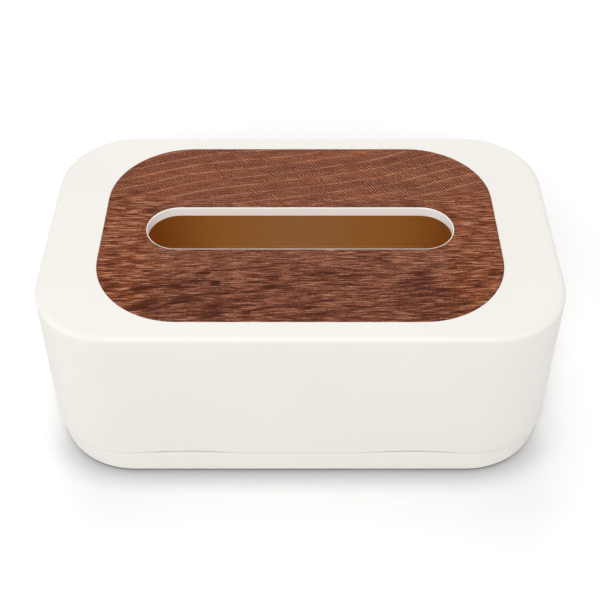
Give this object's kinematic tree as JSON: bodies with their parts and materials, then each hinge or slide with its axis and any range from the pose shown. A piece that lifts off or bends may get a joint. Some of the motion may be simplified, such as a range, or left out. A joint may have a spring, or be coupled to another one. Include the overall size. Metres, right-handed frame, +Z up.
{
  "type": "tissue box",
  "caption": "Free-standing tissue box: an ivory lift-off cover with a wood panel round its dispensing slot, on a shallow base tray with soft feet.",
  "frame": {"origin": "the middle of the box on the surface that it stands on", "axes": "+X along the dispensing slot, -Y towards the front, +Z up"},
  "size_m": [0.2602, 0.1584, 0.1],
  "materials": {
    "ivory_plastic": "satin moulded ivory plastic",
    "walnut": "red-brown walnut veneer, open grain, matt oil",
    "film": "double-sided film",
    "foot_rubber": "soft grey pad"
  },
  "bodies": {
    "base": {"base_tray": "ivory_plastic", "foot_front_left": "foot_rubber", "foot_front_right": "foot_rubber", "foot_back_left": "foot_rubber", "foot_back_right": "foot_rubber"},
    "cover": {"cover_shell": "ivory_plastic", "wood_panel": "walnut", "adhesive_film": "film"}
  },
  "joints": [
    {"name": "cover_lift", "type": "slide", "parent": "base", "child": "cover", "axis": [0, 0, 1], "range_m": [0, 0.09]}
  ]
}
